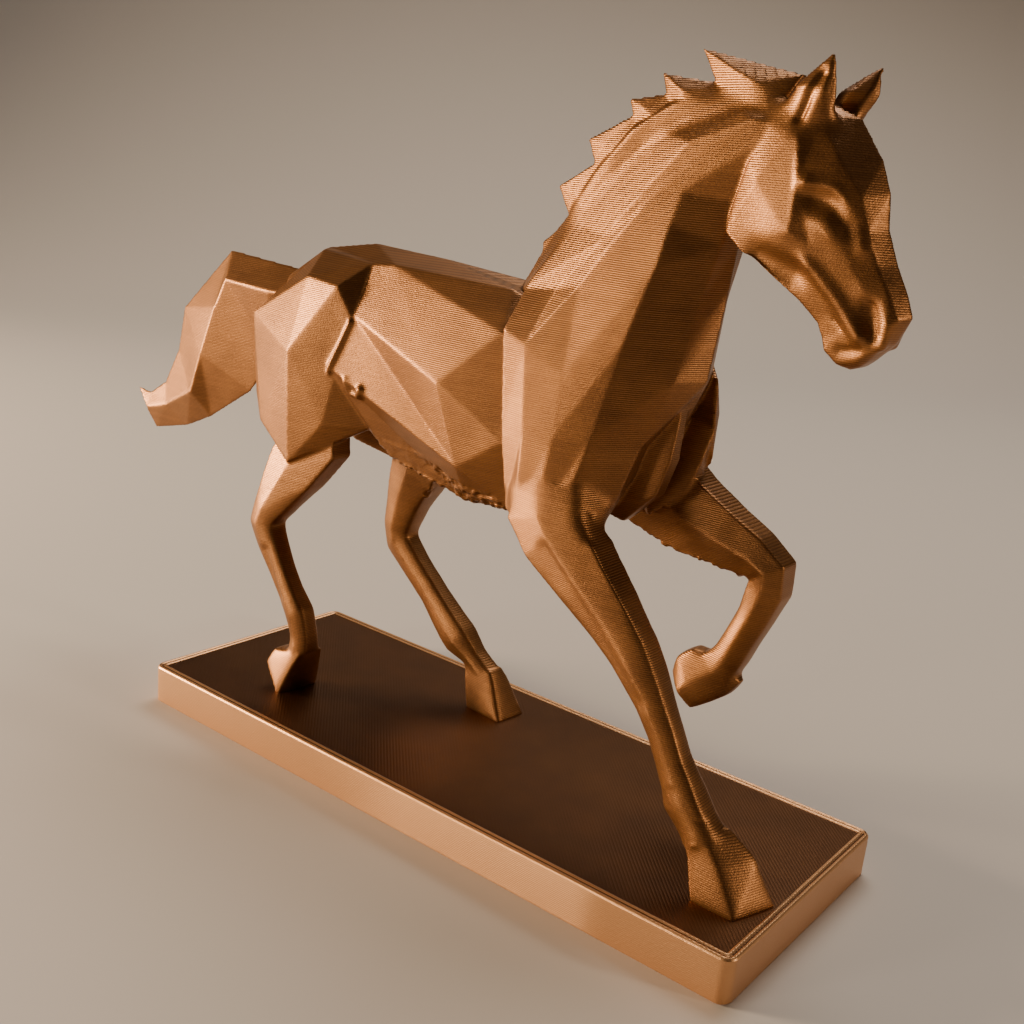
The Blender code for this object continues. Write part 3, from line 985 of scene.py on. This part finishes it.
# Low window from behind on the near side, small light in front, soft box above and behind
LAMPS: tuple[Lamp, ...] = (
    Lamp("window", -150, 5, 0.50, 0.11, 5.3, "#FFE3BF"),
    Lamp("side", -112, 3, 0.50, 0.08, 0.8, "#FFEBD2"),
    Lamp("front", 15, 13, 0.55, 0.05, 0.75, "#FFE8CC"),
    Lamp("overhead", 110, 62, 0.75, 0.45, 3.8, "#FFF4E8"),
)


@dataclass
class Studio:
    """Pale floor that sweeps up behind, soft lights and the camera at the photograph's place.

    Lengths are in metres, the lens and the sensor in millimetres, and angles in degrees.
    """

    floor_reach: float = 1.6
    floor_steps: int = 81
    sweep_start: float = 0.4
    sweep_depth: float = 0.9
    wall_height: float = 0.9
    board: str = "#CFC6BD"
    board_roughness: float = 0.85
    room: str = "#B8ADA2"
    room_strength: float = 0.03
    lens: float = 42.12
    sensor: float = 36.0
    nearest: float = 0.01
    farthest: float = 10.0
    azimuth: float = 37.1
    elevation: float = 15.92
    roll: float = 5.41
    distance: float = 0.15786
    target: tuple[float, float, float] = (0.0014, 0.0, 0.03959)

    def floor(self) -> bpy.types.Object:
        """Floor whose height rises with the square of how far a point lies behind the object.

        Returns:
            The floor's object.
        """
        reach = np.linspace(-self.floor_reach, self.floor_reach, self.floor_steps)
        across, along = np.meshgrid(reach, reach)
        turn = math.radians(self.azimuth)
        x = across * math.cos(turn) - along * math.sin(turn)
        y = across * math.sin(turn) + along * math.cos(turn)
        z = self.wall_height * (np.clip(along - self.sweep_start, 0, None) / self.sweep_depth) ** 2
        points = np.stack([x, y, z], -1).reshape(-1, 3)
        index = np.arange(points.shape[0]).reshape(across.shape)
        corners = [index[:-1, :-1], index[:-1, 1:], index[1:, 1:], index[1:, :-1]]
        item = show("floor", mesh_from("floor", points, np.stack(corners, -1).reshape(-1, 4)))
        # Painted board, rolled flat and without gloss
        material = bpy.data.materials.new("matt_pale_board")
        material.use_nodes = True
        shader = material.node_tree.nodes["Principled BSDF"]
        shader.inputs["Base Color"].default_value = linear(self.board)
        shader.inputs["Roughness"].default_value = self.board_roughness
        item.data.materials.append(material)
        return item

    def light(self, lamp: Lamp) -> None:
        """Hang one lamp and aim it at the horse.

        Args:
            lamp: its place, size and strength.
        """
        data = bpy.data.lights.new(lamp.name, "AREA")
        data.size = lamp.size
        data.energy = lamp.power
        data.color = linear(lamp.tint)[:3]
        item = bpy.data.objects.new(lamp.name, data)
        level, up = math.radians(lamp.turn), math.radians(lamp.rise)
        way = Vector((math.cos(level) * math.cos(up), math.sin(level) * math.cos(up), math.sin(up)))
        item.location = Vector(self.target) + way * lamp.away
        item.rotation_mode = "QUATERNION"
        item.rotation_quaternion = way.to_track_quat("Z", "Y")
        item.visible_camera = False
        bpy.context.scene.collection.objects.link(item)

    def surroundings(self) -> None:
        """Fill the room with a faint even light."""
        world = bpy.data.worlds.new("room")
        world.use_nodes = True
        background = world.node_tree.nodes["Background"]
        background.inputs["Color"].default_value = linear(self.room)
        background.inputs["Strength"].default_value = self.room_strength
        bpy.context.scene.world = world

    def camera(self) -> None:
        """Camera that looks as the photograph does."""
        data = bpy.data.cameras.new("camera")
        data.lens = self.lens
        data.sensor_width = self.sensor
        data.clip_start = self.nearest
        data.clip_end = self.farthest
        item = bpy.data.objects.new("camera", data)
        turn, rise, lean = (math.radians(value) for value in (self.azimuth, self.elevation, self.roll))
        back = Vector((math.sin(turn) * math.cos(rise), -math.cos(turn) * math.cos(rise), math.sin(rise)))
        level = Vector((0, 0, 1)).cross(back).normalized()
        upward = back.cross(level)
        right = level * math.cos(lean) + upward * math.sin(lean)
        top = upward * math.cos(lean) - level * math.sin(lean)
        turned = Matrix((right, top, back)).transposed().to_4x4()
        turned.translation = Vector(self.target) + back * self.distance
        item.matrix_world = turned
        bpy.context.scene.collection.objects.link(item)
        bpy.context.scene.camera = item


def main() -> None:
    """Build the horse, its plate and the studio."""
    logging.basicConfig(level=logging.INFO, format="%(message)s")
    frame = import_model()
    node = frame["nodes"][NODE]
    studio = Studio()
    studio.camera()
    for item in (Horse().build(node), Plate().build()):
        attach(item, "root")
        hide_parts(NODE)
        item.data.calc_loop_triangles()
        LOG.info("%s: %d triangles", item.name, len(item.data.loop_triangles))
    studio.floor()
    for lamp in LAMPS:
        studio.light(lamp)
    studio.surroundings()


if __name__ == "__main__":
    main()
